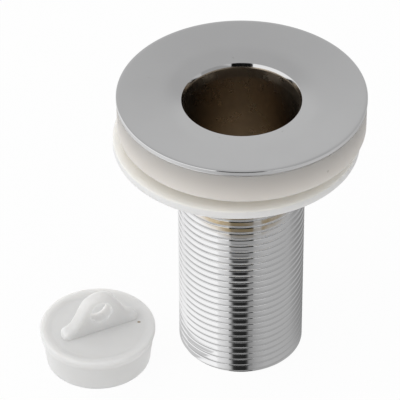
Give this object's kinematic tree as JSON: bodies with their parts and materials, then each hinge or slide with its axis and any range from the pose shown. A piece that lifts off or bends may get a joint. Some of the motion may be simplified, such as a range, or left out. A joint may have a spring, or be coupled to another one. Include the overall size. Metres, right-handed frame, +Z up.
{
  "type": "basin waste",
  "caption": "Flanged basin waste with a threaded tail and overflow slots, soft washers pushed up under its flange, and its moulded plug with a chain eye standing beside it.",
  "frame": {"origin": "on the axis of the tail's bore, at the open lower end of the tail, which stands on the floor", "axes": "+Z up along the bore, from the tail's open end to the flange; the overflow slots face +X and -X; the plug stands on the -X side"},
  "size_m": [0.1083, 0.0808, 0.1023],
  "materials": {
    "plated_brass": "polished",
    "washer_polythene": "satin",
    "plug_polythene": "satin"
  },
  "bodies": {
    "root": {"waste_body": "plated_brass", "upper_washer": "washer_polythene", "lower_washer": "washer_polythene", "plug": "plug_polythene"}
  },
  "joints": []
}
